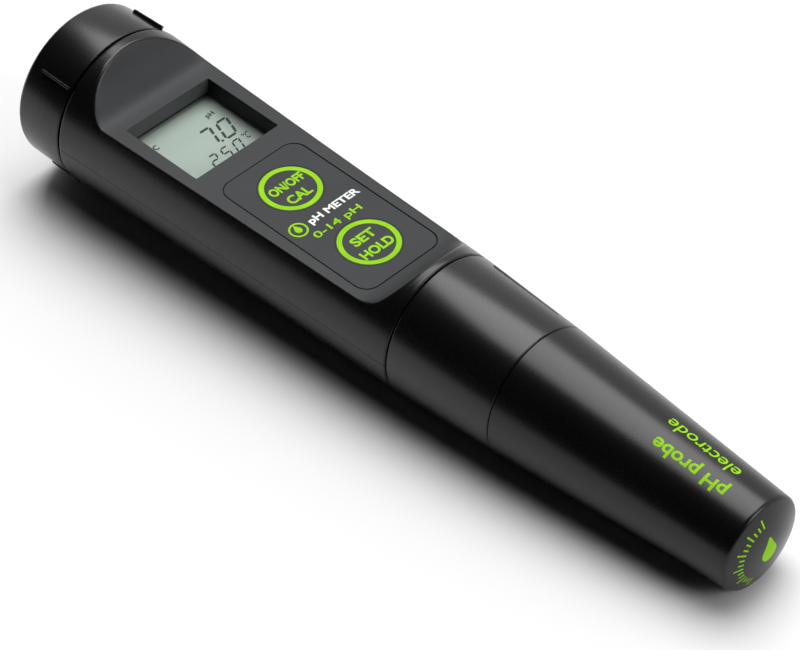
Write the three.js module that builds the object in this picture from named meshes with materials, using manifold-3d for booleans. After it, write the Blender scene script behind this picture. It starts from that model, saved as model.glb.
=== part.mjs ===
// Waterproof pen-type pH meter, lying on its back with the display facing up.
// Millimetres, +Z up. The long axis runs along X: the battery cap is at -X and the
// protective cap of the electrode at +X. Inside the group, x is measured from the
// battery cap's end face and y = z = 0 is the long axis.
import * as THREE from 'three';
import { mergeVertices } from 'three/addons/utils/BufferGeometryUtils.js';
import Module from 'manifold-3d';

const wasm = await Module();
wasm.setup();

// ---- driving dimensions -------------------------------------------------------------
const LENGTH = 199;
const SIDES = 32; // flats on a large round piece; one of them faces straight down
const SEAM_GAP = 0.3;
const SEAM_CAP = 13.65; // battery cap to case
const SEAM_COLLAR = 110.55; // case to collar
const SEAM_SLEEVE = 137.95; // collar to protective cap

const R_CAP = 18.6;
const R_CASE_HEAD = 18.93;
const R_CASE_SHOULDER = 18.55;
const R_CASE_TIP = 16.54;
const R_COLLAR_TIP = 15.18;
const R_SLEEVE_TIP = 10.66;
const R_RIB = 19.6;

const WALL = 2.1;
const PANEL = 9.71; // height of the flat panel above the long axis
const RAMP = THREE.MathUtils.degToRad(58); // slope of the ramps at both ends of the panel
const PANEL_HEAD = 22.1;
const PANEL_TIP = 104.2;
const RAMP_BLEND = 3;

const WELL = { x0: 28.55, x1: 50.19, y: 11.84, floor: 5.4, wall: 1.2 };
const PAD = { x0: 55.7, x1: 100.26, y: 11.38, corner: 3.5, depth: 0.71, thick: 0.65 };
const KEY_X = { on_off: 66.45, set_hold: 89.66 };
const KEY = { r: 6.95, gap: 0.3, pocket: 0.65, stem: 2.4, stemEnd: 5.75 };

const SPIGOT_HEAD = { x0: 5, r: 15.4, bore: 13.4, lugX: 8 };
const SPIGOT_TIP = { x1: 120, r: 13.3, bore: 11.4, lugX: 116.5 };
const THREAD = { starts: 3, lead: 15, lug: 2, lugSpan: 24, height: 0.9, play: 0.35 };

const BOARD = { x0: 24.5, x1: 97.5, y: 12.5, z0: -0.3, z1: 0.7 };
const BOSS_PLACES = [[54.8, 10.2], [54.8, -10.2], [95, 10], [95, -10]];
const CELL = { r: 5.8, step: 5.4, count: 4, x0: 23.4, z: -6.7 };
const SOCKET_PINS = [45, 135, 225, 315];
const PIN_CIRCLE = 4.6;

const NECK = { r: 12, x1: 146 };
const TUBE = { r: 8.5, bore: 7.5, x1: 176 };
const BULB = { x: 181.8, r: 4.4, stem: 3.4, glass: 0.7 };
const SENSOR_RADIUS = 6;

// ---- materials ----------------------------------------------------------------------
function material(color, roughness, metalness = 0) {
  return new THREE.MeshStandardMaterial({ color, roughness, metalness });
}
const BLACK = material('#3a3b3c', 0.42);
const PANEL_GREY = material('#55585a', 0.55);
const KEY_GREEN = material('#a9d822', 0.5);
const CLEAR = material('#dfe6e2', 0.08);
const LCD_GREY = material('#a9b5ac', 0.3);
const BOARD_GREEN = material('#1f6b3a', 0.5);
const CHIP_BLACK = material('#1c1c1e', 0.5);
const STEEL = material('#c4c6c8', 0.3, 1);
const GOLD = material('#caa04a', 0.3, 1);
const RUBBER = material('#232325', 0.8);
const IVORY = material('#d9d6cc', 0.6);
const FOAM = material('#b9a24e', 0.95);

// ---- solids -------------------------------------------------------------------------
function toSolid(geometry) {
  const bare = geometry.clone();
  bare.deleteAttribute('normal');
  bare.deleteAttribute('uv');
  const merged = mergeVertices(bare, 1e-4);
  return new wasm.Manifold(new wasm.Mesh({
    numProp: 3,
    vertProperties: new Float32Array(merged.attributes.position.array),
    triVerts: new Uint32Array(merged.index.array),
  }));
}

function toGeometry(solid) {
  const mesh = solid.getMesh();
  const geometry = new THREE.BufferGeometry();
  geometry.setAttribute('position', new THREE.BufferAttribute(mesh.vertProperties, 3));
  geometry.setIndex(new THREE.BufferAttribute(mesh.triVerts, 1));
  return geometry;
}

const cut = (body, ...tools) => tools.reduce((left, tool) => left.subtract(tool), body);
const join = (body, ...more) => more.reduce((left, piece) => left.add(piece), body);

// A turned shape about X. The profile is a list of [x, radius] that runs towards +X
// outside and back inside, or starts and ends on the axis. Flats are tangent to radius.
function turned(profile, sides = SIDES) {
  const spread = 1 / Math.cos(Math.PI / sides);
  const points = profile.map(([x, r]) => new THREE.Vector2(r * spread, x));
  const onAxis = profile[0][1] === 0 && profile.at(-1)[1] === 0;
  if (!onAxis) points.push(points[0].clone());
  const geometry = new THREE.LatheGeometry(points, sides, Math.PI / sides);
  return geometry.rotateZ(-Math.PI / 2);
}

const tube = (x0, x1, outer, inner, sides = SIDES) => turned(
  [[x0, outer], [x1, outer], [x1, inner], [x0, inner]], sides);
const rod = (x0, x1, r, sides = SIDES) => turned([[x0, 0], [x0, r], [x1, r], [x1, 0]], sides);

function box(x0, x1, y0, y1, z0, z1) {
  const geometry = new THREE.BoxGeometry(x1 - x0, y1 - y0, z1 - z0);
  return geometry.translate((x0 + x1) / 2, (y0 + y1) / 2, (z0 + z1) / 2);
}

function post(x, y, z0, z1, r, sides = 16) {
  const geometry = new THREE.CylinderGeometry(r, r, z1 - z0, sides);
  return geometry.rotateX(Math.PI / 2).translate(x, y, (z0 + z1) / 2);
}

function ring(x, radius, section) {
  const spread = 1 / Math.cos(Math.PI / SIDES);
  const geometry = new THREE.TorusGeometry(radius * spread, section, 8, SIDES);
  return geometry.rotateZ(Math.PI / SIDES).rotateY(Math.PI / 2).translate(x, 0, 0);
}

function roundedPlate(x0, x1, y, corner, z0, z1) {
  const shape = new THREE.Shape();
  shape.moveTo(x0 + corner, -y);
  shape.lineTo(x1 - corner, -y);
  shape.absarc(x1 - corner, corner - y, corner, -Math.PI / 2, 0);
  shape.lineTo(x1, y - corner);
  shape.absarc(x1 - corner, y - corner, corner, 0, Math.PI / 2);
  shape.lineTo(x0 + corner, y);
  shape.absarc(x0 + corner, y - corner, corner, Math.PI / 2, Math.PI);
  shape.lineTo(x0, corner - y);
  shape.absarc(x0 + corner, corner - y, corner, Math.PI, Math.PI * 1.5);
  const settings = { depth: z1 - z0, bevelEnabled: false, curveSegments: 5 };
  return new THREE.ExtrudeGeometry(shape, settings).translate(0, 0, z0);
}

// Everything above the flat panel and its two ramps. A grow above 0 moves the faces
// down and outwards by that much, which leaves a wall of that thickness under them.
function abovePanel(grow) {
  const shift = grow * Math.tan(RAMP / 2);
  const z = PANEL - grow;
  const head = PANEL_HEAD - shift;
  const tip = PANEL_TIP + shift;
  const top = 26;
  const run = (top - z) / Math.tan(RAMP);
  const blend = RAMP_BLEND * Math.tan(RAMP / 2);
  const bx = blend * Math.cos(RAMP);
  const bz = blend * Math.sin(RAMP);
  const shape = new THREE.Shape();
  shape.moveTo(head - run, top);
  shape.lineTo(head - bx, z + bz);
  shape.quadraticCurveTo(head, z, head + blend, z);
  shape.lineTo(tip - blend, z);
  shape.quadraticCurveTo(tip, z, tip + bx, z + bz);
  shape.lineTo(tip + run, top);
  const depth = 50;
  const settings = { depth, bevelEnabled: false, curveSegments: 4 };
  const geometry = new THREE.ExtrudeGeometry(shape, settings);
  return geometry.rotateX(Math.PI / 2).translate(0, depth / 2, 0);
}

// A block bent along a right-handed helix about X: span degrees either side are given
// as from and to, and its middle crosses x at angle.
function helicalBlock(x, angle, from, to, r0, r1, width) {
  const steps = Math.max(2, Math.ceil((to - from) / 8));
  const geometry = new THREE.BoxGeometry(1, 1, 1, steps, 1, 1);
  const place = geometry.attributes.position;
  for (let i = 0; i < place.count; i += 1) {
    const turn = from + (place.getX(i) + 0.5) * (to - from);
    const phi = THREE.MathUtils.degToRad(angle + turn);
    const r = place.getZ(i) < 0 ? r0 : r1;
    const along = x + THREAD.lead * turn / 360 + place.getY(i) * width;
    place.setXYZ(i, along, -r * Math.sin(phi), r * Math.cos(phi));
  }
  return geometry;
}

const starts = Array.from({ length: THREAD.starts }, (_, i) => i * 360 / THREAD.starts);

function threadLugs(x, radius) {
  const half = THREAD.lugSpan / 2;
  return starts.map((angle) => toSolid(
    helicalBlock(x, angle, -half, half, radius - 0.6, radius + THREAD.height, THREAD.lug)));
}

// Channels for the lugs, from where a lug sits at rest out through the mouth.
function threadChannels(x, mouth, bore) {
  const half = THREAD.lugSpan / 2 + 3;
  const reach = (mouth - x) / THREAD.lead * 360;
  const out = reach + Math.sign(reach) * 40;
  const from = Math.min(out, -half);
  const to = Math.max(out, half);
  const outer = bore + THREAD.height;
  const width = THREAD.lug + 2 * THREAD.play;
  return starts.map((angle) => toSolid(
    helicalBlock(x, angle, from, to, bore - 0.5, outer, width)));
}

// A thin straight rib on a round surface, in line with the long axis. Its top runs from
// radius r1 at the head end to radius r2 at the tip end.
function gripRib(x0, x1, angle, r0, r1, r2, width) {
  const shape = new THREE.Shape();
  shape.moveTo(x0, r0);
  shape.lineTo(x1, r0);
  shape.lineTo(x1, r2);
  shape.lineTo(x0 + 1, r1);
  const settings = { depth: width, bevelEnabled: false };
  const geometry = new THREE.ExtrudeGeometry(shape, settings).rotateX(Math.PI / 2);
  return toSolid(geometry.translate(0, width / 2, 0).rotateX(-angle));
}
const RIB_ANGLES = [-46.8, 43.2, 133.2, 223.2].map(THREE.MathUtils.degToRad);
const sleeveRadius = (x) => R_COLLAR_TIP + (R_SLEEVE_TIP - R_COLLAR_TIP)
  * (x - SEAM_SLEEVE) / (LENGTH - SEAM_SLEEVE);
const collarRadius = (x) => R_CASE_TIP + (R_COLLAR_TIP - R_CASE_TIP)
  * (x - SEAM_COLLAR) / (SEAM_SLEEVE - SEAM_COLLAR);

// ---- the object ---------------------------------------------------------------------
const object = new THREE.Group();
object.name = 'ph_meter';
object.position.set(-LENGTH / 2, 0, R_CASE_HEAD);

function add(name, geometry, look) {
  const mesh = new THREE.Mesh(geometry, look);
  mesh.name = name;
  object.add(mesh);
}

function caseShell() {
  const rimHead = SEAM_CAP + SEAM_GAP / 2;
  const rimTip = SEAM_COLLAR - SEAM_GAP / 2;
  const head = SPIGOT_HEAD;
  const tip = SPIGOT_TIP;
  const outside = toSolid(turned([
    [head.x0, 0], [head.x0, head.r], [rimHead, head.r], [rimHead, R_CASE_HEAD],
    [24, R_CASE_SHOULDER], [rimTip, R_CASE_TIP], [rimTip, tip.r], [tip.x1, tip.r],
    [tip.x1, 0],
  ]));
  const bulkhead = 105.5;
  const socketSeat = 107.5;
  const cavity = toSolid(turned([
    [head.x0 - 1, 0], [head.x0 - 1, head.bore], [15.5, head.bore],
    [18.5, R_CASE_SHOULDER - WALL], [bulkhead, R_CASE_TIP - WALL], [bulkhead, 7.5],
    [socketSeat, 7.5], [socketSeat, tip.bore], [tip.x1 + 1, tip.bore], [tip.x1 + 1, 0],
  ]));
  const roof = PANEL - WALL;
  const w = WELL;
  const wellWalls = toSolid(box(w.x0 - w.wall, w.x1 + w.wall, -w.y - w.wall, w.y + w.wall,
    w.floor, roof + 1));
  const well = toSolid(box(w.x0, w.x1, -w.y, w.y, w.floor - 1, PANEL + 5));
  const p = PAD;
  const padRecess = toSolid(roundedPlate(p.x0, p.x1, p.y, p.corner, PANEL - p.depth, PANEL + 5));
  const keyHoles = Object.values(KEY_X).flatMap((x) => [
    toSolid(post(x, 0, PANEL - p.depth - KEY.pocket, PANEL + 1, KEY.r + KEY.gap, 24)),
    toSolid(post(x, 0, roof - 1, PANEL, KEY.stem + KEY.gap)),
  ]);
  const bosses = BOSS_PLACES.map(([x, y]) => toSolid(post(x, y, BOARD.z1, roof + 0.5, 1.9)));
  const bossHoles = BOSS_PLACES.map(([x, y]) => toSolid(post(x, y, 0, roof - 2, 1.2, 12)));
  const sealGroove = toSolid(tube(11, 12.8, head.r + 1, 14.3));
  const shell = cut(outside, toSolid(abovePanel(0)), cut(cavity, toSolid(abovePanel(WALL))));
  const furnished = join(shell, wellWalls, ...bosses, ...threadLugs(head.lugX, head.r),
    ...threadLugs(tip.lugX, tip.r));
  return toGeometry(cut(furnished, well, padRecess, ...keyHoles, ...bossHoles, sealGroove));
}

function batteryCap() {
  const mouth = SEAM_CAP - SEAM_GAP / 2;
  const bore = SPIGOT_HEAD.r + 0.5;
  const floor = 2.4;
  const cup = toSolid(turned([
    [0, 0], [0, R_CAP - 1.6], [0.4, R_CAP - 0.6], [1.4, R_CAP], [mouth, R_CAP + 0.05],
    [mouth, bore], [floor, bore], [floor, 0],
  ]));
  const ribs = RIB_ANGLES.map((angle) => gripRib(
    4.2, mouth, angle, R_CAP - 0.5, R_RIB, R_RIB, 0.6));
  const channels = threadChannels(SPIGOT_HEAD.lugX, mouth, bore);
  return toGeometry(cut(join(cup, ...ribs), ...channels));
}

function collar() {
  const x0 = SEAM_COLLAR + SEAM_GAP / 2;
  const x1 = SEAM_SLEEVE - SEAM_GAP / 2;
  const bore = SPIGOT_TIP.r + 0.4;
  const shoulder = 123.4;
  const body = toSolid(turned([
    [x0, collarRadius(x0)], [x1, collarRadius(x1)], [x1, NECK.r + 0.4],
    [shoulder, NECK.r + 0.4], [shoulder, bore], [x0, bore],
  ]));
  const ribs = [RIB_ANGLES[1], RIB_ANGLES[3]].map((angle) => gripRib(
    113.5, 133, angle, 14.7, collarRadius(113.5) + 0.35, collarRadius(133) + 0.1, 0.6));
  return toGeometry(cut(join(body, ...ribs), ...threadChannels(SPIGOT_TIP.lugX, x0, bore)));
}

function protectiveCap() {
  const x0 = SEAM_SLEEVE + SEAM_GAP / 2;
  const wall = 2.2;
  const rim = 196.4; // the end face domes out from here
  const bore = 195.5;
  const edge = sleeveRadius(rim) - 0.3;
  const flat = 3.5; // it can stand on the small flat in the middle
  const dome = [0.8, 0.6, 0.4, 0].map((share) => [
    LENGTH - (LENGTH - rim) * share ** 2, flat + (edge - flat) * share,
  ]);
  return turned([
    [x0, sleeveRadius(x0)], [rim - 0.5, sleeveRadius(rim)], [rim, edge], ...dome, [LENGTH, 0],
    [bore, 0], [bore, sleeveRadius(bore) - wall], [148, sleeveRadius(148) - wall],
    [146.6, 12.5], [x0, 12.5],
  ]);
}

function keypadOverlay() {
  const p = PAD;
  const inset = 0.3;
  const z1 = PANEL - p.depth + 0.02 + p.thick;
  const sheet = toSolid(roundedPlate(p.x0 + inset, p.x1 - inset, p.y - inset,
    p.corner - inset, z1 - p.thick, z1));
  const holes = Object.values(KEY_X).map((x) => toSolid(
    post(x, 0, PANEL - 3, PANEL + 3, KEY.r + KEY.gap, 24)));
  return toGeometry(cut(sheet, ...holes));
}

function key(x) {
  const z1 = PANEL - PAD.depth + 0.02 + PAD.thick;
  const disc = toSolid(post(x, 0, z1 - PAD.thick, z1, KEY.r, 24));
  return toGeometry(join(disc, toSolid(post(x, 0, KEY.stemEnd, z1 - 0.1, KEY.stem))));
}

function tactSwitch(x) {
  const body = toSolid(box(x - 3, x + 3, -3, 3, BOARD.z1, BOARD.z1 + 3.4));
  const plunger = toSolid(post(x, 0, BOARD.z1 + 3, KEY.stemEnd - 0.5, 1.7, 12));
  return toGeometry(join(body, plunger));
}

function mainBoard() {
  const b = BOARD;
  const plate = toSolid(roundedPlate(b.x0, b.x1, b.y, 1.5, b.z0, b.z1));
  const holes = BOSS_PLACES.map(([x, y]) => toSolid(post(x, y, b.z0 - 1, b.z1 + 1, 1.2, 12)));
  return toGeometry(cut(plate, ...holes));
}

function boardScrew([x, y]) {
  const head = toSolid(post(x, y, BOARD.z0 - 1.3, BOARD.z0, 1.9, 12));
  const shank = toSolid(post(x, y, BOARD.z0 - 0.5, BOARD.z1 + 4, 0.9, 12));
  const slot = toSolid(box(x - 3, x + 3, y - 0.25, y + 0.25, BOARD.z0 - 2, BOARD.z0 - 0.8));
  return toGeometry(cut(join(head, shank), slot));
}

function lcdFrame() {
  const outer = toSolid(box(25.8, 52.6, -13.8, 13.8, BOARD.z1 + 0.05, 4.45));
  const inner = toSolid(box(26.8, 51.9, -12.9, 12.9, 0, 5));
  return toGeometry(cut(outer, inner));
}

function batteryHolder() {
  const { x0, r, step, count, z } = CELL;
  const from = x0 - 1.8;
  const to = x0 + count * step + 2.4;
  const block = toSolid(rod(from, to, r + 0.75, 24).translate(0, 0, z));
  const trough = toSolid(rod(x0 - 0.9, to - 0.9, r + 0.25, 24).translate(0, 0, z));
  const open = toSolid(box(from - 1, to + 1, -10, 10, z + 3.2, z + 10));
  return toGeometry(cut(block, trough, open));
}

function buttonCell(x) {
  const { r, z } = CELL;
  const shape = turned([
    [x, 0], [x, r - 0.7], [x + 0.5, r - 0.7], [x + 0.5, r], [x + 5.2, r], [x + 5.2, 0],
  ], 24);
  return shape.translate(0, 0, z);
}

function electrodeSocket() {
  const body = toSolid(turned([
    [99.5, 0], [99.5, 7.2], [107.55, 7.2], [107.55, 10.9], [109, 10.9], [109, 0],
  ]));
  return toGeometry(cut(body, ...SOCKET_PINS.map((angle) => toSolid(
    onPinCircle(rod(103.5, 110, 0.95, 8), angle)))));
}

function onPinCircle(geometry, degrees) {
  const a = THREE.MathUtils.degToRad(degrees);
  return geometry.translate(0, PIN_CIRCLE * Math.cos(a), PIN_CIRCLE * Math.sin(a));
}

function electrodePlug() {
  return turned([
    [109.3, 0], [109.3, 10.6], [109.7, 11], [112, 11], [112, 9.95], [113.8, 9.95],
    [113.8, 11], [120.1, 11], [120.1, 0],
  ]);
}

function electrodeBody() {
  return turned([
    [120.2, 0], [120.2, 13.2], [123.1, 13.2], [123.1, NECK.r], [141, NECK.r], [141, 11],
    [142.8, 11], [142.8, NECK.r], [NECK.x1, NECK.r], [NECK.x1 + 2, TUBE.r],
    [TUBE.x1, TUBE.r], [TUBE.x1, TUBE.bore], [124, TUBE.bore], [124, 0],
  ]);
}

function bulbGuard() {
  const plate = 178.4;
  const end = 187;
  const r = 8.4;
  const cup = toSolid(turned([
    [TUBE.x1 + 0.3, 0], [TUBE.x1 + 0.3, r], [end, r], [end, r - 1.3], [plate, r - 1.3],
    [plate, 0],
  ]));
  const windows = [0, 90].map((degrees) => toSolid(
    box(180.4, end + 1, -3.6, 3.6, -r - 1, r + 1)
      .rotateX(THREE.MathUtils.degToRad(degrees))));
  const hole = toSolid(rod(170, 180, BULB.stem + 0.3, 16));
  const pinHole = toSolid(rod(170, 179, 1.4, 12).translate(0, 0, SENSOR_RADIUS));
  const plugHole = toSolid(rod(170, 179, 1.2, 12).translate(0, 0, -SENSOR_RADIUS));
  return toGeometry(cut(cup, ...windows, hole, pinHole, plugHole));
}

function glassElectrode() {
  const { x, r, stem, glass } = BULB;
  const arc = (radius, angles) => angles.map((degrees) => {
    const a = THREE.MathUtils.degToRad(degrees);
    return [x - radius * Math.cos(a), radius * Math.sin(a)];
  });
  const outer = arc(r, [56, 80, 105, 130, 155, 180]);
  const inner = arc(r - glass, [180, 150, 120, 90, 60]);
  outer.at(-1)[1] = 0;
  inner[0][1] = 0;
  return turned([
    ...inner, [178, stem - glass], [127, stem - glass], [127, stem], [178, stem], ...outer,
  ], 20);
}

add('case', caseShell(), BLACK);
add('battery_cap', batteryCap(), BLACK);
add('cap_pad', rod(2.7, 4.6, 11, 24), FOAM);
add('battery_cap_oring', ring(11.9, 15.05, 0.62), RUBBER);
add('collar_ring', collar(), BLACK);
add('protective_cap', protectiveCap(), BLACK);
add('storage_sponge', rod(192.3, 195.2, 8.1, 24), FOAM);

add('keypad_overlay', keypadOverlay(), PANEL_GREY);
for (const [name, x] of Object.entries(KEY_X)) {
  add(`key_${name}`, key(x), KEY_GREEN);
  add(`switch_${name}`, tactSwitch(x), CHIP_BLACK);
}
add('display_window', box(27.6, 51.14, -12.8, 12.8, 4.55, 5.35), CLEAR);
add('lcd_glass', box(27.1, 51.6, -12.6, 12.6, 2.15, 4.2), LCD_GREY);
add('lcd_frame', lcdFrame(), IVORY);
add('zebra_strip_head', box(27.2, 29.2, -12.3, 12.3, 0.75, 2.1), RUBBER);
add('zebra_strip_tip', box(49.5, 51.5, -12.3, 12.3, 0.75, 2.1), RUBBER);

add('main_board', mainBoard(), BOARD_GREEN);
add('controller_chip', box(73.5, 81.5, -4, 4, BOARD.z1, BOARD.z1 + 1.4), CHIP_BLACK);
add('amplifier_chip', box(54.5, 59.5, -2, 2, BOARD.z0 - 1.4, BOARD.z0), CHIP_BLACK);
add('crystal_can', box(75, 81, 6.5, 9.5, BOARD.z1, BOARD.z1 + 2), STEEL);
add('buzzer_disc', post(68, 0, BOARD.z0 - 2.2, BOARD.z0, 5), CHIP_BLACK);
add('tank_capacitor', post(60, -8.2, BOARD.z1, BOARD.z1 + 4.6, 2.4), STEEL);
BOSS_PLACES.forEach((place, i) => add(`board_screw_${i + 1}`, boardScrew(place), STEEL));
add('socket_flat_cable', box(92.5, 99.3, -4.5, 4.5, -0.8, -0.35), IVORY);

add('battery_holder', batteryHolder(), IVORY);
for (let i = 0; i < CELL.count; i += 1) {
  add(`button_cell_${i + 1}`, buttonCell(CELL.x0 + i * CELL.step), STEEL);
}
const cellsEnd = CELL.x0 + CELL.count * CELL.step;
add('contact_minus', box(22.7, 23.2, -3, 3, CELL.z - 4, -1), GOLD);
add('contact_plus', box(cellsEnd + 0.3, cellsEnd + 0.8, -3, 3, CELL.z - 4, -1), GOLD);
add('pull_ribbon', box(14, 21.3, -4, 4, CELL.z - 5.2, CELL.z - 4.8), IVORY);

add('electrode_socket', electrodeSocket(), IVORY);
add('electrode_plug', electrodePlug(), BLACK);
SOCKET_PINS.forEach((angle, i) => {
  add(`plug_pin_${i + 1}`, onPinCircle(rod(104.5, 109.25, 0.5, 8), angle), GOLD);
});
add('plug_oring', ring(112.9, 10.62, 0.6), RUBBER);
add('electrode_body', electrodeBody(), BLACK);
add('neck_oring', ring(141.9, 11.72, 0.62), RUBBER);
add('bulb_guard', bulbGuard(), BLACK);
add('glass_electrode', glassElectrode(), CLEAR);
add('silver_wire', rod(125, 180, 0.5, 8), STEEL);
add('temperature_pin', turned([
  [150, 0], [150, 1.1], [183.8, 1.1], [184.5, 0.6], [184.5, 0],
], 12).translate(0, 0, SENSOR_RADIUS), STEEL);
add('reference_junction', rod(172, 179.2, 0.9, 12).translate(0, 0, -SENSOR_RADIUS), IVORY);

export default object;
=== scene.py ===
import math
import bpy
from mathutils import Matrix, Vector


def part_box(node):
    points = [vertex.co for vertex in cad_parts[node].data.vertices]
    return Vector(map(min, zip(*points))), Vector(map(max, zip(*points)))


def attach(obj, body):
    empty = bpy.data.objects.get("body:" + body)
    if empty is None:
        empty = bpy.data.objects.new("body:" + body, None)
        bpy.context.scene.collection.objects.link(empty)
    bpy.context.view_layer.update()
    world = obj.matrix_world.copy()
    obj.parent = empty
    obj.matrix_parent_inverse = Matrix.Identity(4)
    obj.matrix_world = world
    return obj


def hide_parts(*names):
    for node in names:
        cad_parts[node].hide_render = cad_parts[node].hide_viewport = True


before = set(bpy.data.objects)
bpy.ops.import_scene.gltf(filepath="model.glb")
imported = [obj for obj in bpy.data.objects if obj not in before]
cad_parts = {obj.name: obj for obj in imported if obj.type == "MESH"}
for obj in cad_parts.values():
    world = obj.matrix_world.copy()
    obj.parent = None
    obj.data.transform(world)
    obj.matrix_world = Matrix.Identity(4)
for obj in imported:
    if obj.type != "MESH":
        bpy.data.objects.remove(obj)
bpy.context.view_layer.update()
print("frame loaded:", len(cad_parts), "nodes")

# Shapes are drawn in millimetres, with x measured from the battery cap's end face and
# y = z = 0 on the long axis. settle() puts a finished mesh into the frame, in metres.
mm = 0.001
wireLow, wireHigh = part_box("silver_wire")  # it runs along the long axis
datum = Vector((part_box("battery_cap")[0].x, 0, (wireLow.z + wireHigh.z) / 2))
toFrame = Matrix.Translation(datum) @ Matrix.Scale(mm, 4)


def span(node):  # the lowest and highest corner of a CAD node, in millimetres
    low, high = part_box(node)
    return (low - datum) / mm, (high - datum) / mm


# angles in degrees, distances in millimetres, near and far in metres
cameraPlace = {
    "turn": 44.3135, "tilt": 44.6562, "roll": 0.2889, "distance": 761.15,
    "slideRight": -0.968, "slideUp": -5.167, "aimX": 100, "lens": 165.585,
    "near": 0.05, "far": 20,
}


def addCamera(p):
    turn, tilt = math.radians(p["turn"]), math.radians(p["tilt"])
    right = Vector((math.cos(turn), math.sin(turn), 0))
    ahead = Vector((-math.sin(turn) * math.cos(tilt), math.cos(turn) * math.cos(tilt), -math.sin(tilt)))
    up = right.cross(ahead)
    aim = Vector((p["aimX"], 0, 0))
    place = aim - ahead * p["distance"] + right * p["slideRight"] + up * p["slideUp"]
    level = Matrix((right, up, -ahead)).transposed()
    stance = level @ Matrix.Rotation(math.radians(p["roll"]), 3, "Z")
    camera = bpy.data.objects.new("camera", bpy.data.cameras.new("camera"))
    bpy.context.scene.collection.objects.link(camera)
    camera.data.lens = p["lens"]
    camera.data.clip_start, camera.data.clip_end = p["near"], p["far"]
    camera.matrix_world = Matrix.Translation(toFrame @ place) @ stance.to_4x4()
    bpy.context.scene.camera = camera


floorShape = {  # level under the battery cap, then a gentle ramp up to the tip
    "reach": 4.0, "steps": 160, "crowding": 3, "sink": 0.0002,
    "rest": -0.0857, "tip": 0.0965, "beyond": 0.02, "slope": math.radians(2.5),
}


def addFloor(p, look):
    bpy.ops.object.select_all(action="DESELECT")
    bpy.ops.mesh.primitive_grid_add(x_subdivisions=p["steps"], y_subdivisions=2, size=2 * p["reach"])
    floor = bpy.context.object
    floor.name = "studio_floor"
    rise = math.tan(p["slope"])
    for v in floor.data.vertices:  # the case's rim and the tip both rest on it
        share = v.co.x / p["reach"]
        v.co.x = math.copysign(abs(share) ** p["crowding"], share) * p["reach"]
        ramp = min(max(v.co.x - p["rest"], 0), p["tip"] - p["rest"] + p["beyond"])
        v.co.z = ramp * rise - p["sink"]
    floor.data.materials.append(look)
    floor.data.shade_smooth()


lights = {
    "overhead": {"place": (-0.35, 0.45, 1.5), "aim": (0, 0, 0), "size": (1.3, 1.3), "power": 26},
    "tipSide": {"place": (1.7, 0.5, 1.1), "aim": (0.05, 0, 0), "size": (0.9, 0.9), "power": 11},
}
backdrop = {"behind": 0.85, "front": 0.004, "seen": 0.72, "from": -0.05, "to": 0.5}


def addBackdrop(p):  # bright behind the meter and dark in front, so that its near side stays deep black
    world = bpy.data.worlds.new("studio")
    world.use_nodes = True
    tree = world.node_tree
    rays = tree.nodes.new("ShaderNodeLightPath")
    seen = tree.nodes.new("ShaderNodeMix")
    seen.inputs["B"].default_value = p["seen"]
    fade = fadeAcross(tree, "Generated", (p["from"], p["to"]), (p["front"], p["behind"]))
    tree.links.new(rays.outputs["Is Camera Ray"], seen.inputs["Factor"])
    tree.links.new(fade, seen.inputs["A"])
    tree.links.new(seen.outputs["Result"], tree.nodes["Background"].inputs["Color"])
    bpy.context.scene.world = world


def addLights():
    for name, p in lights.items():
        bpy.ops.object.light_add(type="AREA", location=p["place"])
        lamp = bpy.context.object
        lamp.name = name
        lamp.data.shape = "RECTANGLE"
        lamp.data.size, lamp.data.size_y = p["size"]
        lamp.data.energy = p["power"]
        lamp.rotation_mode = "QUATERNION"
        back = Vector(p["place"]) - Vector(p["aim"])
        lamp.rotation_quaternion = back.to_track_quat("Z", "Y")
    bpy.context.scene.view_settings.view_transform = "Standard"


noiseSpan = (0.3, 0.7)  # where most of a noise's values lie


# every finish is drawn by nodes over Object coordinates, with scales per metre
def newLook(name):
    look = bpy.data.materials.new(name)
    look.use_nodes = True
    tree = look.node_tree
    return look, tree, tree.nodes["Principled BSDF"]


def setSockets(node, values):
    for socket, value in values.items():
        node.inputs[socket].default_value = value
    return node


def noiseOf(tree, scale, detail=3, stretch=(1, 1, 1)):
    coords = tree.nodes.new("ShaderNodeTexCoord")
    mapping = setSockets(tree.nodes.new("ShaderNodeMapping"), {"Scale": stretch})
    noise = setSockets(tree.nodes.new("ShaderNodeTexNoise"), {"Scale": scale, "Detail": detail})
    tree.links.new(coords.outputs["Object"], mapping.inputs["Vector"])
    tree.links.new(mapping.outputs["Vector"], noise.inputs["Vector"])
    return noise.outputs["Fac"]


def toneOf(tree, source, low, high):
    ramp = tree.nodes.new("ShaderNodeValToRGB")
    ramp.color_ramp.elements[0].position, ramp.color_ramp.elements[1].position = noiseSpan
    ramp.color_ramp.elements[0].color = (*low, 1)
    ramp.color_ramp.elements[1].color = (*high, 1)
    tree.links.new(source, ramp.inputs["Fac"])
    return ramp.outputs["Color"]


def fadeOf(tree, source, spread, values, kind="LINEAR"):
    fade = tree.nodes.new("ShaderNodeMapRange")
    fade.interpolation_type = kind
    low, high = values
    setSockets(fade, {"From Min": spread[0], "From Max": spread[1], "To Min": low, "To Max": high})
    tree.links.new(source, fade.inputs["Value"])
    return fade.outputs["Result"]


def fadeAcross(tree, coordinates, spread, values):  # a soft change from the far side to the near side
    coords = tree.nodes.new("ShaderNodeTexCoord")
    parts = tree.nodes.new("ShaderNodeSeparateXYZ")
    tree.links.new(coords.outputs[coordinates], parts.inputs["Vector"])
    return fadeOf(tree, parts.outputs["Y"], spread, values, "SMOOTHSTEP")


def bumpOf(tree, source, height):
    bump = setSockets(tree.nodes.new("ShaderNodeBump"), {"Distance": height})
    tree.links.new(source, bump.inputs["Height"])
    return bump.outputs["Normal"]


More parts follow.
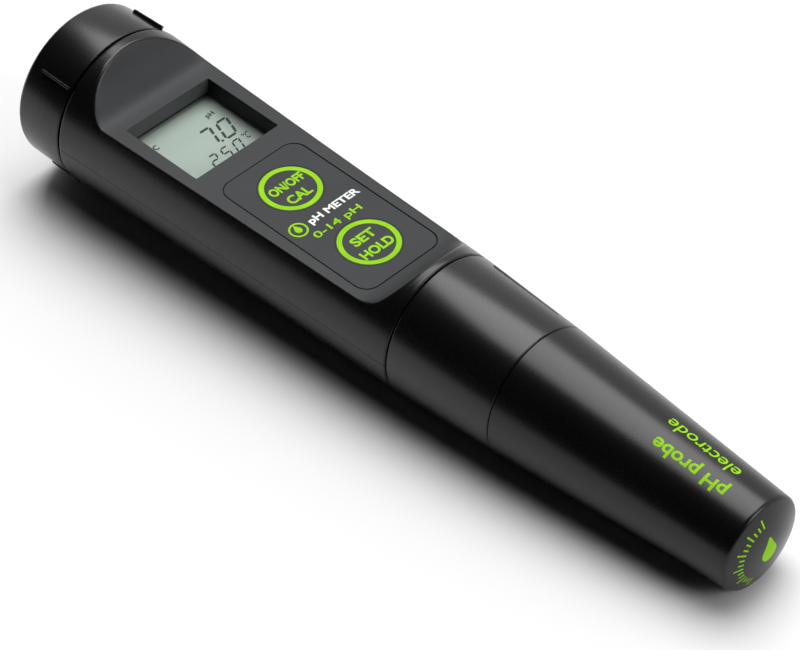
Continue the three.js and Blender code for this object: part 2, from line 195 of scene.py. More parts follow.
def finishLook(name, p):
    look, tree, shader = newLook(name)
    broad = noiseOf(tree, p.get("patches", 60), 4)
    grain = noiseOf(tree, p.get("grain", 5000), 2, p.get("stretch", (1, 1, 1)))
    tree.links.new(toneOf(tree, broad, p["low"], p["high"]), shader.inputs["Base Color"])
    tree.links.new(fadeOf(tree, grain, noiseSpan, p["rough"]), shader.inputs["Roughness"])
    tree.links.new(bumpOf(tree, grain, p.get("height", 4e-6)), shader.inputs["Normal"])
    if "specular" in p:
        shader.inputs["Specular IOR Level"].default_value = p["specular"]
    setSockets(shader, p.get("sockets", {}))
    return look


def finish(low, high, rough, **more):  # darkest and palest tone, and how rough it is
    return {"low": low, "high": high, "rough": rough, **more}


finishes = {
    "case_moulding": finish((0.0028, 0.0029, 0.0031), (0.0040, 0.0041, 0.0043), (0.245, 0.285),
        grain=5200, height=1e-6, patches=45, specular=0.42),
    "cap_black": finish((0.0026, 0.0027, 0.0029), (0.0038, 0.0039, 0.0041), (0.25, 0.29),
        grain=5200, height=1e-6, patches=50, specular=0.46),
    "collar_black": finish((0.0026, 0.0027, 0.0028), (0.0036, 0.0037, 0.0039), (0.245, 0.285),
        grain=5200, height=1e-6, patches=50, specular=0.47),
    "sleeve_black": finish((0.0026, 0.0027, 0.0028), (0.0036, 0.0037, 0.0039), (0.245, 0.285),
        grain=5200, height=1e-6, patches=45, specular=0.39),
    "electrode_black": finish((0.012, 0.012, 0.013), (0.017, 0.017, 0.018), (0.30, 0.42), grain=4000),
    "panel_matt": finish((0.030, 0.0312, 0.0328), (0.036, 0.0373, 0.0392), (0.42, 0.48),
        grain=6500, height=2e-6, specular=0.21),
    # painted light: a lighter grey for the well's head wall, standing in for the light that falls on it from
    # the tip side
    "well_painted_light": finish((0.072, 0.075, 0.078), (0.082, 0.085, 0.089), (0.45, 0.55),
        grain=6500, height=2e-6, specular=0.2),
    "well_matt": finish((0.004, 0.0043, 0.0048), (0.006, 0.0064, 0.007), (0.5, 0.6),
        grain=6500, height=2e-6, specular=0.2),
    "film_grey": finish((0.026, 0.0282, 0.0302), (0.031, 0.0335, 0.0356), (0.46, 0.54),
        grain=9000, height=2e-6, patches=70, specular=0.22),
    "ink_green": finish((0.25, 0.57, 0.001), (0.30, 0.66, 0.002), (0.4, 0.5),
        grain=8000, height=1e-6, patches=300, specular=0.08),
    "ink_white": finish((0.78, 0.79, 0.79), (0.88, 0.88, 0.88), (0.4, 0.5),
        grain=8000, height=1e-6, patches=300),
    "segment_black": finish((0.002, 0.0025, 0.003), (0.005, 0.0055, 0.006), (0.4, 0.5),
        grain=8000, height=1e-6, patches=400, specular=0.05),
    "crystal_grey": finish((0.33, 0.405, 0.352), (0.37, 0.45, 0.392), (0.35, 0.45),
        grain=12000, height=5e-7, patches=120, specular=0.1),
    "window_clear": finish((0.9, 0.93, 0.92), (0.95, 0.97, 0.96), (0.03, 0.06),
        grain=900, height=1e-6, patches=90, specular=0.12, sockets={"Alpha": 0.03}),
    "ivory_moulding": finish((0.62, 0.59, 0.52), (0.70, 0.67, 0.60), (0.45, 0.6)),
    "silicone_rubber": finish((0.014, 0.014, 0.016), (0.024, 0.024, 0.026), (0.55, 0.75),
        grain=3500, height=8e-6),
    "plated_steel": finish((0.56, 0.57, 0.58), (0.68, 0.69, 0.70), (0.2, 0.36),
        grain=3000, height=3e-6, stretch=(1, 6, 1), sockets={"Metallic": 1.0}),
    "gold_plate": finish((0.72, 0.50, 0.19), (0.83, 0.62, 0.28), (0.18, 0.32),
        grain=3000, height=3e-6, sockets={"Metallic": 1.0}),
    "silver_drawn": finish((0.74, 0.73, 0.71), (0.86, 0.85, 0.83), (0.22, 0.36),
        grain=2500, height=3e-6, stretch=(0.1, 1, 1), sockets={"Metallic": 1.0}),
    "chip_black": finish((0.014, 0.014, 0.015), (0.03, 0.03, 0.031), (0.5, 0.7), grain=7000, height=6e-6),
    "ribbon_white": finish((0.70, 0.71, 0.73), (0.80, 0.81, 0.82), (0.4, 0.55),
        grain=2400, height=6e-6, stretch=(0.15, 1, 1)),
    "foam_open": finish((0.50, 0.40, 0.13), (0.72, 0.60, 0.24), (0.85, 1.0),
        grain=1900, height=1.2e-4, patches=1100, sockets={"Sheen Weight": 0.3}),
    "sensor_glass": finish((0.86, 0.92, 0.93), (0.92, 0.96, 0.97), (0.02, 0.05),
        grain=900, height=1e-6, sockets={"Transmission Weight": 0.9, "IOR": 1.5, "Alpha": 0.85}),
    "junction_ceramic": finish((0.66, 0.65, 0.62), (0.80, 0.79, 0.76), (0.7, 0.9),
        grain=5200, height=1.5e-5, patches=900),
}
boardFinish = {
    "tracks": {"Scale": 260, "Mortar Size": 0.045, "Color1": (0.008, 0.085, 0.030, 1),
               "Color2": (0.010, 0.105, 0.038, 1), "Mortar": (0.045, 0.24, 0.085, 1)},
    "height": 3e-5, "grain": 3000, "rough": (0.25, 0.4),
}
floorPaintedShadeFinish = {
    "low": (0.84, 0.84, 0.84), "high": (0.86, 0.86, 0.86), "rough": (0.5, 0.6),
    "grain": 700, "height": 1e-6, "patches": 2,
    # painted shade: across fade the floor turns to this grey in front of the meter, standing in for light
    # that falls off away from the lamps
    "fade": (-0.14, -0.5), "grey": (0.26, 0.26, 0.26, 1),
}


def boardLook(p=boardFinish):  # solder mask with copper tracks showing through as lighter lines
    look, tree, shader = newLook("solder_mask")
    coords = tree.nodes.new("ShaderNodeTexCoord")
    tracks = setSockets(tree.nodes.new("ShaderNodeTexBrick"), p["tracks"])
    tree.links.new(coords.outputs["Object"], tracks.inputs["Vector"])
    tree.links.new(tracks.outputs["Color"], shader.inputs["Base Color"])
    tree.links.new(bumpOf(tree, tracks.outputs["Fac"], p["height"]), shader.inputs["Normal"])
    grain = noiseOf(tree, p["grain"])
    tree.links.new(fadeOf(tree, grain, noiseSpan, p["rough"]), shader.inputs["Roughness"])
    return look


def floorLook(p=floorPaintedShadeFinish):  # pale paper that falls away to grey in front of the meter; the grey is painted shade, for the light that falls off away from the lamps
    look = finishLook("paper_with_painted_shade", p)
    tree = look.node_tree
    shader = tree.nodes["Principled BSDF"]
    pale = shader.inputs["Base Color"].links[0].from_socket
    blend = tree.nodes.new("ShaderNodeMix")
    blend.data_type = "RGBA"
    # the painted shade side takes the grey, the pale side the paper's own tone
    paleSide, paintedShadeSide, blended = blend.inputs[6], blend.inputs[7], blend.outputs[2]  # its colour sockets
    tree.links.new(fadeAcross(tree, "Object", p["fade"], (0, 1)), blend.inputs["Factor"])
    tree.links.new(pale, paleSide)
    paintedShadeSide.default_value = p["grey"]
    tree.links.new(blended, shader.inputs["Base Color"])
    return look


looks = {name: finishLook(name, p) for name, p in finishes.items()}
looks["solder_mask"] = boardLook()
print("finishes made:", len(looks))


weld = 1e-4  # points nearer than this are one


def deselect():
    bpy.ops.object.select_all(action="DESELECT")


def pick(piece):
    deselect()
    piece.select_set(True)
    bpy.context.view_layer.objects.active = piece


def edit(piece):
    pick(piece)
    bpy.ops.object.mode_set(mode="EDIT")
    bpy.ops.mesh.select_all(action="SELECT")


def leaveEdit():
    bpy.ops.object.mode_set(mode="OBJECT")


def named(name):
    piece = bpy.context.object
    piece.name = piece.data.name = name
    return piece


def tidySkin(piece):  # closes seams and poles, with the faces pointing out
    edit(piece)
    bpy.ops.mesh.remove_doubles(threshold=weld)
    bpy.ops.mesh.normals_make_consistent(inside=False)
    leaveEdit()


def filleted(corners, closed, arcSteps=6):  # corners are (x, radius) or (x, radius, fillet)
    points = []
    for i, (x, r, *fillet) in enumerate(corners):
        here = Vector((x, r))
        inside = closed or 0 < i < len(corners) - 1
        if not fillet or not inside:
            points.append(here)
            continue
        before = (Vector(corners[i - 1][:2]) - here).normalized()
        after = (Vector(corners[(i + 1) % len(corners)][:2]) - here).normalized()
        half = before.angle(after) / 2
        centre = here + (before + after).normalized() * fillet[0] / math.sin(half)
        start = here + before * fillet[0] / math.tan(half) - centre
        end = here + after * fillet[0] / math.tan(half) - centre
        first = math.atan2(start.y, start.x)
        sweep = (math.atan2(end.y, end.x) - first + math.pi) % (2 * math.pi) - math.pi
        for k in range(arcSteps + 1):
            a = first + sweep * k / arcSteps
            points.append(centre + fillet[0] * Vector((math.cos(a), math.sin(a))))
    return points


def turned(name, corners, closed=True, steps=96, arcSteps=6):  # spun about the long axis
    points = [Vector((p.x, 0, p.y)) for p in filleted(corners, closed, arcSteps)]
    deselect()
    bpy.ops.mesh.primitive_plane_add(size=1)
    piece = named(name)
    bpy.ops.object.mode_set(mode="EDIT")
    bpy.ops.mesh.merge(type="CENTER")
    bpy.ops.transform.translate(value=points[0])
    stops = points[1:] + points[:1] if closed else points[1:]
    here = points[0]
    for stop in stops:
        bpy.ops.mesh.extrude_region_move(TRANSFORM_OT_translate={"value": stop - here})
        here = stop
    bpy.ops.mesh.select_all(action="SELECT")
    bpy.ops.mesh.remove_doubles(threshold=weld)
    bpy.ops.mesh.select_all(action="SELECT")
    bpy.ops.mesh.spin(steps=steps, angle=2 * math.pi, center=(0, 0, 0), axis=(1, 0, 0))
    leaveEdit()
    tidySkin(piece)
    return piece


def formedSheet(name, along, around, place):  # a grid whose points go where place(i, j) says
    deselect()
    bpy.ops.mesh.primitive_grid_add(x_subdivisions=along, y_subdivisions=around, size=2)
    piece = named(name)
    for v in piece.data.vertices:
        i = round((v.co.x + 1) / 2 * along)
        j = round((v.co.y + 1) / 2 * around)
        v.co = place(i, j)
    tidySkin(piece)
    return piece


def capEnds(piece):
    edit(piece)
    bpy.ops.mesh.select_all(action="DESELECT")
    bpy.ops.mesh.select_mode(type="EDGE")
    bpy.ops.mesh.select_non_manifold()
    bpy.ops.mesh.edge_face_add()
    bpy.ops.mesh.select_all(action="SELECT")
    bpy.ops.mesh.normals_make_consistent(inside=False)
    bpy.ops.mesh.select_mode(type="VERT")
    leaveEdit()


def combine(piece, other, operation):
    modifier = piece.modifiers.new("combine", "BOOLEAN")
    modifier.operation = operation
    modifier.solver = "MANIFOLD"
    modifier.object = other
    pick(piece)
    bpy.ops.object.modifier_apply(modifier=modifier.name)
    bpy.data.objects.remove(other)
    return piece


def joined(name, parts):
    pick(parts[0])
    for part in parts[1:]:
        part.select_set(True)
    bpy.ops.object.join()
    return named(name)


def block(name, low, high, bevel=0, segments=3, only=None):  # a box with rounded edges
    low, high = Vector(low), Vector(high)
    deselect()
    bpy.ops.mesh.primitive_cube_add(size=1)
    piece = named(name)
    size, centre = high - low, (high + low) / 2
    piece.data.transform(Matrix.Translation(centre) @ Matrix.Diagonal((*size, 1)))
    if bevel:
        edit(piece)
        if only:
            bpy.ops.mesh.select_mode(type="EDGE")
            bpy.ops.mesh.select_all(action="DESELECT")
            leaveEdit()
            for edge in piece.data.edges:
                a, b = (piece.data.vertices[k].co for k in edge.vertices)
                edge.select = only(a, b)
            bpy.ops.object.mode_set(mode="EDIT")
        bpy.ops.mesh.bevel(offset=bevel, segments=segments, affect="EDGES")
        bpy.ops.mesh.select_mode(type="VERT")
        leaveEdit()
    return piece


def settle(piece, body, look, replaced=(), smooth=32):  # smooth is the sharpest soft edge
    pick(piece)
    bpy.ops.object.shade_smooth_by_angle(angle=math.radians(smooth))
    piece.data.transform(toFrame)
    piece.data.materials.clear()
    piece.data.materials.append(looks[look])
    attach(piece, body)
    if replaced:
        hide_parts(*replaced)
    return piece


def printed(piece, body, ink):  # settles a print, which replaces no node
    return settle(piece, body, ink, (), 25)


def paint(piece, look, wanted):  # gives that look to the faces whose middle and normal are wanted
    piece.data.materials.append(looks[look])
    back = toFrame.inverted()
    for face in piece.data.polygons:
        if wanted(back @ face.center, face.normal):
            face.material_index = len(piece.data.materials) - 1


def smoothLeast(a, b, width):
    near = max(width - abs(a - b), 0) / width
    return min(a, b) - near * near * width / 4


def mix(a, b, share):
    return a + (b - a) * share


# case, a tapered barrel with a flat panel between two steep ramps
caseLow, caseHigh = span("case")
windowLow, windowHigh = span("display_window")
filmLow, filmHigh = span("keypad_overlay")
caseShape = {
    "rimHead": 13.88, "shoulder": 24, "rimTip": 110.4, "shoulderBlend": 0.08,
    "radiusHead": -caseLow.y, "radiusShoulder": 18.55, "radiusTip": 16.54, "waist": 0.1,
    "rimRound": 0.45, "wall": 2.1,
    "panel": filmHigh.z + 0.04, "rampHead": 22.1, "rampTip": 104.2,
    "rampAngle": math.radians(58), "rampBlend": 6.4, "edgeBlend": 0.6,
    "softHead": 1.2, "softTip": 1.5, "softReach": 2.0,
    "partingAngle": math.radians(90.8), "partingDepth": 0.05, "partingWidth": 0.16,
    "bulkhead": 105.5, "socketSeat": 107.5, "socketBore": 7.5, "sealGroove": 14.3,
}
caseGrid = {  # steps along in millimetres, and how many columns go round each part
    "fine": 0.25, "coarse": 1.6, "headStep": 0.6, "tipStep": 0.5, "edgeStep": 0.12,
    "panel": 20, "side": 14, "under": 28, "least": 0.2,
}
spigotHead = {"end": caseLow.x, "radius": 15.4, "bore": 13.4, "lugX": 8}
spigotTip = {"end": caseHigh.x, "radius": 13.3, "bore": 11.4, "lugX": 116.5}
thread = {"starts": 3, "lead": 15, "lug": 2, "lugSpan": 24, "height": 0.9, "play": 0.35,
          "root": 0.6, "overlap": 0.5, "spare": 3, "runOut": 40}


def caseRadius(x, p=caseShape):
    head = mix(p["radiusHead"], p["radiusShoulder"],
               (x - p["rimHead"]) / (p["shoulder"] - p["rimHead"]))
    share = (x - p["shoulder"]) / (p["rimTip"] - p["shoulder"])
    body = mix(p["radiusShoulder"], p["radiusTip"], share)
    radius = -smoothLeast(-head, -body, p["shoulderBlend"])
    if 0 < share < 1:
        radius -= p["waist"] * math.sin(math.pi * share) ** 2
    edge = min(x - p["rimHead"], p["rimTip"] - x)
    if edge < p["rimRound"]:
        gap = p["rimRound"] - max(edge, 0)
        radius -= p["rimRound"] - math.sqrt(p["rimRound"] ** 2 - gap ** 2)
    return radius


def panelHeight(x, deeper=0, p=caseShape):
    slope, shift = math.tan(p["rampAngle"]), deeper * math.tan(p["rampAngle"] / 2)
    head = p["panel"] - deeper + (p["rampHead"] - shift - x) * slope
    tip = p["panel"] - deeper + (x - p["rampTip"] - shift) * slope
    ramp = max(head, tip)
    return -smoothLeast(-ramp, -(p["panel"] - deeper), p["rampBlend"])


def edgeBlend(x, p=caseShape):  # crisp along the panel and softer where it turns up into the ramps
    head = p["softHead"] * math.exp(-((x - p["rampHead"]) / p["softReach"]) ** 2)
    tip = p["softTip"] * math.exp(-((x - p["rampTip"]) / p["softReach"]) ** 2)
    return p["edgeBlend"] + head + tip


def columnAngles(edgeAngle, radius, p=caseShape, g=caseGrid):  # from mid panel round to the underside
    cluster = [k * g["edgeStep"] / radius for k in range(-4, 5)]
    first = edgeAngle + cluster[0]
    angles = [math.atan(math.tan(first) * k / g["panel"]) for k in range(g["panel"])]
    angles += [edgeAngle + step for step in cluster]
    last, parting = angles[-1], p["partingAngle"]
    groove = [k * p["partingWidth"] / 4 / radius for k in range(-3, 4)]
    angles += [mix(last, parting + groove[0], k / g["side"]) for k in range(1, g["side"])]
    angles += [parting + step for step in groove]
    angles += [mix(angles[-1], math.pi, k / g["under"]) for k in range(1, g["under"] + 1)]
    return angles


def caseStations(p=caseShape, g=caseGrid):  # closer together at the rims and the ramps
    zones = [(p["rimHead"] + 0.4, 15.6, g["headStep"]), (15.6, 25, g["fine"]), (25, 101.5, g["coarse"]),
             (101.5, 109, g["fine"]), (109, p["rimTip"] - 0.4, g["tipStep"])]
    xs = [p["rimHead"] + p["rimRound"] * (1 - math.cos(a * math.pi / 12)) for a in range(6)]
    for start, end, step in zones:
        count = math.ceil((end - start) / step)
        xs += [mix(start, end, k / count) for k in range(count)]
    xs += [p["rimTip"] - p["rimRound"] * (1 - math.cos(a * math.pi / 12)) for a in range(6, -1, -1)]
    return xs


def caseProfile(p=caseShape):  # once round the shell's section: outside, tip spigot, inside, head spigot
    head, tip = spigotHead, spigotTip
    chamfer, nick, root = 0.5, 0.3, 0.15  # at a spigot's end, at its bore and at the rim beside it
    path = [(x, "outside") for x in caseStations()]
    path += [(p["rimTip"], tip["radius"] + root), (p["rimTip"] + root, tip["radius"])]
    path += [(x, tip["radius"]) for x in (112, 114, 116, 118)]
    path += [(tip["end"] - chamfer, tip["radius"]), (tip["end"], tip["radius"] - chamfer),
             (tip["end"], tip["bore"] + nick), (tip["end"] - nick, tip["bore"])]
    path += [(x, tip["bore"]) for x in (117, 113, 110, p["socketSeat"])]
    path += [(p["socketSeat"], p["socketBore"] + 0.01), (p["bulkhead"], p["socketBore"])]
    inner = [x for x in caseStations()[::3] if 18.6 < x < p["bulkhead"] - 0.1]
    path += [(p["bulkhead"], "inside")] + [(x, "inside") for x in reversed(inner)]
    path += [(18.5, "inside"), (15.5, head["bore"] + 0.01)]
    path += [(x, head["bore"]) for x in (13, 10, 7)]
    path += [(head["end"] + nick, head["bore"]), (head["end"], head["bore"] + nick),
             (head["end"], head["radius"] - chamfer), (head["end"] + chamfer, head["radius"])]
    groove = p["sealGroove"]
    path += [(x, head["radius"]) for x in (7, 9)]
    path += [(11, head["radius"]), (11.05, groove), (12.75, groove), (12.8, head["radius"])]
    path += [(p["rimHead"] - root, head["radius"]), (p["rimHead"], head["radius"] + root)]
    return path


def caseSkin(p=caseShape):
    path = caseProfile()
    steep, far = 1.5, 1e3  # past that angle the panel is out of reach
    halfColumns = {}

    def half(x):
        if x not in halfColumns:
            r = caseRadius(min(max(x, p["rimHead"]), p["rimTip"]))
            edge = math.acos(min(max(panelHeight(x) / r, -1), 1)) if panelHeight(x) < r else 0
            halfColumns[x] = columnAngles(max(edge, caseGrid["least"]), r)
        return halfColumns[x]

    count = len(half(60)) - 1

    def place(i, j):
        x, kind = path[i % len(path)]
        side = 1 if j <= count else -1
        angles = half(min(max(x, p["rimHead"]), p["rimTip"]))
        angle = angles[count - j] if j <= count else angles[j - count]
        if kind == "outside":
            r = caseRadius(x)
            toPanel = panelHeight(x) / math.cos(angle) if angle < steep else far
            r = smoothLeast(r, toPanel, edgeBlend(x))
            offset = (angle - p["partingAngle"]) * r / p["partingWidth"]
            r -= p["partingDepth"] * math.exp(-offset * offset * 9)
        elif kind == "inside":
            r = caseRadius(x) - p["wall"]
            toPanel = panelHeight(x, p["wall"]) / math.cos(angle) if angle < steep else far
            r = smoothLeast(r, toPanel, p["edgeBlend"])
        else:
            r = kind
        return Vector((x, side * -r * math.sin(angle), r * math.cos(angle)))

    return formedSheet("case_shell", len(path), 2 * count, place)


def helicalBlock(name, x, angle, start, end, inner, outer, width):  # bent along the thread's helix
    deselect()
    bpy.ops.mesh.primitive_cube_add(size=1)
    piece = named(name)
    edit(piece)
    bpy.ops.mesh.subdivide(number_cuts=7)
    leaveEdit()
    for v in piece.data.vertices:
        turn = mix(start, end, v.co.x + 0.5)
        phi = math.radians(angle + turn)
        r = mix(inner, outer, v.co.z + 0.5)
        along = x + thread["lead"] * turn / 360 + v.co.y * width
        v.co = (along, -r * math.sin(phi), r * math.cos(phi))
    tidySkin(piece)
    return piece


def threadLugs(spigot):
    half = thread["lugSpan"] / 2
    inner, outer = spigot["radius"] - thread["root"], spigot["radius"] + thread["height"]
    return [helicalBlock("lug", spigot["lugX"], k * 360 / thread["starts"], -half, half, inner, outer,
                         thread["lug"]) for k in range(thread["starts"])]


def threadChannels(spigot, mouth, bore):
    half = thread["lugSpan"] / 2 + thread["spare"]
    reach = (mouth - spigot["lugX"]) / thread["lead"] * 360
    reach += math.copysign(thread["runOut"], reach)
    width = thread["lug"] + 2 * thread["play"]
    return [helicalBlock("channel", spigot["lugX"], k * 360 / thread["starts"], min(reach, -half),
                         max(reach, half), bore - thread["overlap"], bore + thread["height"], width)
            for k in range(thread["starts"])]


# a prism with round corners, whose top flares like a fillet, and that may be split at a height
def roundedCutter(name, x0, x1, y, corner, floorZ, topZ, flare, split=None):
    arcSteps, flareSteps, above, spread = 8, 6, 3, 0.02
    levels = [(floorZ, 0)] + ([(split, 0)] if split else [])
    for k in range(flareSteps + 1):
        a = k / flareSteps * math.pi / 2
        levels.append((topZ - flare * (1 - math.sin(a)), flare * (1 - math.cos(a))))
    levels.append((topZ + above, flare + spread))

    def ring(grow):
        points = []
        for cx, cy, turn in ((x1 - corner, y - corner, 0), (x0 + corner, y - corner, 1),
                             (x0 + corner, corner - y, 2), (x1 - corner, corner - y, 3)):
            for k in range(arcSteps + 1):
                a = (turn + k / arcSteps) * math.pi / 2
                points.append((cx + (corner + grow) * math.cos(a), cy + (corner + grow) * math.sin(a)))
        return points + points[:1]

    rings = [ring(grow) for _, grow in levels]
    piece = formedSheet(name, len(levels) - 1, len(rings[0]) - 1,
                        lambda i, j: Vector((*rings[i][j], levels[i][0])))
    capEnds(piece)
    return piece


def upright(piece, x, y):  # stands a piece that was turned about the long axis on end
    piece.data.transform(Matrix.Translation((x, y, 0)) @ Matrix.Rotation(-math.pi / 2, 4, "Y"))
    return piece


keyPlaces = {}
for keyName in ("on_off", "set_hold"):
    keyLow, keyHigh = span("key_" + keyName)
    keyPlaces[keyName] = (keyLow.x + keyHigh.x) / 2
keyShape = {"radius": 6.95, "gap": 0.3, "pocket": 0.65, "stem": 2.4, "visible": 7.12, "play": 0.05,
            "film": 0.65, "domeRadius": 5.0, "dome": 0.016}
bosses = {"places": [(54.8, 10.2), (54.8, -10.2), (95, 10), (95, -10)],
          "foot": 0.7, "radius": 1.9, "bore": 1.2, "round": 0.2}
wellSlack = 0.02  # faces this near a wall of the well belong to it
# shade is the height where the painted light on the well's head wall ends; below it the wall keeps its dark
# finish
well = {"x0": windowLow.x + 0.95, "x1": windowHigh.x - 0.95, "y": windowHigh.y - 0.96,
        "floor": windowHigh.z + 0.05, "wall": 1.2, "corner": 0.25, "edge": 0.25, "shade": windowHigh.z + 0.6}
pad = {"x0": filmLow.x - 0.3, "x1": filmHigh.x + 0.3, "y": filmHigh.y + 0.3, "corner": 3.5,
       "floor": filmLow.z - 0.02, "edge": 0.18, "groove": 0.2}


def makeCase():
    p = caseShape
    shell = caseSkin()
    roof = p["panel"] - p["wall"]
    w = well
    walls = block("well_walls", (w["x0"] - w["wall"], -w["y"] - w["wall"], w["floor"]),
                  (w["x1"] + w["wall"], w["y"] + w["wall"], roof + 1))
    combine(shell, walls, "UNION")
    for x, y in bosses["places"]:
        boss = upright(turned("boss", [
            (bosses["foot"], bosses["bore"]), (bosses["foot"], bosses["radius"], bosses["round"]),
            (roof + 0.5, bosses["radius"]), (roof + 0.5, bosses["bore"])], steps=32), x, y)
        combine(shell, boss, "UNION")
    for lug in threadLugs(spigotHead) + threadLugs(spigotTip):
        combine(shell, lug, "UNION")
    combine(shell, roundedCutter("well_cutter", w["x0"], w["x1"], w["y"], w["corner"], w["floor"] - 1,
                                 p["panel"], w["edge"], w["shade"]), "DIFFERENCE")
    combine(shell, roundedCutter("pad_cutter", pad["x0"], pad["x1"], pad["y"], pad["corner"], pad["floor"],
                                 p["panel"], pad["edge"]), "DIFFERENCE")
    pocketFloor, pocketRadius = pad["floor"] - keyShape["pocket"], keyShape["radius"] + keyShape["gap"]
    for x in keyPlaces.values():
        pocket = turned("pocket", [(pocketFloor, 0), (pocketFloor, pocketRadius),
                                   (p["panel"] + 1, pocketRadius), (p["panel"] + 1, 0)],
                        closed=False, steps=72)
        combine(shell, upright(pocket, x, 0), "DIFFERENCE")
        hole = turned("hole", [(roof - 1, 0), (roof - 1, keyShape["stem"] + keyShape["gap"]),
                               (p["panel"], keyShape["stem"] + keyShape["gap"]), (p["panel"], 0)],
                      closed=False, steps=48)
        combine(shell, upright(hole, x, 0), "DIFFERENCE")
    settle(shell, "case_body", "case_moulding", ["case"], 28)

    def onPanel(at, normal):
        below = caseRadius(at.x) - math.hypot(at.y, at.z)
        outward = normal.y * at.y + normal.z * at.z
        return p["rimHead"] + 1 < at.x < p["rimTip"] - 0.3 and below > 0.3 and outward > 2

    def inWell(at, normal):
        inside = w["x0"] - wellSlack < at.x < w["x1"] + wellSlack and abs(at.y) < w["y"] + wellSlack
        return inside and at.z > w["floor"] - 0.5

    # the faces that get the painted light: the well's head wall, above the shade height
    def onHeadWallPaintedLight(at, normal):
        return inWell(at, normal) and normal.x > 0.5 and at.z > w["shade"]

    paint(shell, "panel_matt", onPanel)
    paint(shell, "well_matt", inWell)
    # painted light: the head wall above the shade height gets a lighter grey where light from the tip side
    # falls on it
    paint(shell, "well_painted_light", onHeadWallPaintedLight)


# battery cap, collar and protective cap
ribAngles = [-46.8, 43.2, 133.2, 223.2]
capHigh = span("battery_cap")[1]
collarLow, collarHigh = span("collar_ring")
sleeveLow, sleeveHigh = span("protective_cap")
ribShape = {"round": 0.14, "root": 1, "runOut": 1, "drop": 0.35}
capShape = {
    "radius": 18.6, "mouth": capHigh.x - 0.35, "bore": spigotHead["radius"] + 0.5, "floor": 2.4,
    "dish": 0.12, "dishEdge": 3.0, "endRound": 1.3, "ribFrom": 4.2, "ribHeight": 1.0, "ribWidth": 0.62,
}
collarShape = {
    "radiusHead": 16.54, "radiusTip": 15.18, "bore": spigotTip["radius"] + 0.4, "neck": 12.4,
    "shoulder": 123.4, "ribFrom": 114.5, "ribTo": 133, "ribHead": 0.5, "ribTip": 0.1, "ribWidth": 0.6,
}
sleeveShape = {
    "radiusTip": 10.66, "rim": 196.4, "fillet": 1.2, "apex": sleeveHigh.x - 0.05, "bore": 195.5,
    "wall": 2.2, "mouthBore": 12.5, "mouthTo": 146.6, "hollowFrom": 148, "domeSteps": 12,
}


def gripRib(x0, x1, angle, r0, r1, width, p=ribShape):  # a thin rib that runs out at its first end
    lowSide = min(r0, r1) - p["root"]
    above = lowSide + 0.1
    rib = block("rib", (x0, -width / 2, lowSide), (x1, width / 2, r0), p["round"], 3,
                lambda a, b: a.z > above and b.z > above)
    for v in rib.data.vertices:
        if v.co.z > above:
            v.co.z += mix(0, r1 - r0, (v.co.x - x0) / (x1 - x0))
            v.co.z -= max(0, p["runOut"] - (v.co.x - x0)) ** 2 * p["drop"]
    rib.data.transform(Matrix.Rotation(-math.radians(angle), 4, "X"))
    return rib


def makeBatteryCap(p=capShape):
    r, mouth, bore = p["radius"], p["mouth"], p["bore"]
    cap = turned("battery_cap_shell", [
        (0, 0), (p["dish"], r - p["dishEdge"]), (0, r, p["endRound"]), (mouth, r + 0.05, 0.35),
        (mouth, bore, 0.2), (p["floor"], bore, 0.4), (p["floor"], 0),
    ], closed=False, steps=128)
    ribTop = r + p["ribHeight"]
    for angle in ribAngles:
        combine(cap, gripRib(p["ribFrom"], mouth - 0.1, angle, ribTop, ribTop, p["ribWidth"]), "UNION")
    for channel in threadChannels(spigotHead, mouth, bore):
        combine(cap, channel, "DIFFERENCE")
    settle(cap, "battery_cap_body", "cap_black", ["battery_cap"], 28)


def collarRadius(x, p=collarShape):
    return mix(p["radiusHead"], p["radiusTip"], (x - collarLow.x) / (collarHigh.x - collarLow.x))


def makeCollar(p=collarShape):
    x0, x1, bore, neck, shoulder = collarLow.x, collarHigh.x, p["bore"], p["neck"], p["shoulder"]
    collar = turned("collar_shell", [
        (x0, collarRadius(x0), 0.4), (x1, collarRadius(x1), 0.4), (x1, neck, 0.3), (shoulder, neck, 0.2),
        (shoulder, bore, 0.2), (x0, bore, 0.3),
    ], steps=128)
    ribHead, ribTip = collarRadius(p["ribFrom"]) + p["ribHead"], collarRadius(p["ribTo"]) + p["ribTip"]
    for angle in (ribAngles[1], ribAngles[3]):
        rib = gripRib(p["ribFrom"], p["ribTo"], angle, ribHead, ribTip, p["ribWidth"])
        combine(collar, rib, "UNION")
    for channel in threadChannels(spigotTip, x0, bore):
        combine(collar, channel, "DIFFERENCE")
    settle(collar, "collar", "collar_black", ["collar_ring"], 28)


def sleeveRadius(x):
    share = (x - sleeveLow.x) / (sleeveHigh.x - sleeveLow.x)
    return mix(collarShape["radiusTip"], sleeveShape["radiusTip"], share)


def domeAt(r, p=sleeveShape):  # how far along the domed end face is at that radius
    return p["apex"] - (p["apex"] - p["rim"]) * (r / sleeveRadius(p["rim"])) ** 2


def makeSleeve(p=sleeveShape):
    x0, rim, bore, wall, steps = sleeveLow.x, p["rim"], p["bore"], p["wall"], p["domeSteps"]
    mouthTo, mouthBore, hollow = p["mouthTo"], p["mouthBore"], p["hollowFrom"]
    edge = sleeveRadius(rim)
    dome = [(domeAt(edge * k / steps), edge * k / steps) for k in range(steps - 1, -1, -1)]
    sleeve = turned("protective_cap_shell", [
        (x0, sleeveRadius(x0), 0.4), (rim, edge, p["fillet"])] + dome + [
        (bore, 0), (bore, sleeveRadius(bore) - wall, 1.5), (hollow, sleeveRadius(hollow) - wall, 1),
        (mouthTo, mouthBore, 0.3), (x0, mouthBore, 0.3), (x0, sleeveRadius(x0) - 0.3),
    ], closed=False, steps=128, arcSteps=8)
    settle(sleeve, "sleeve", "sleeve_black", ["protective_cap"], 28)


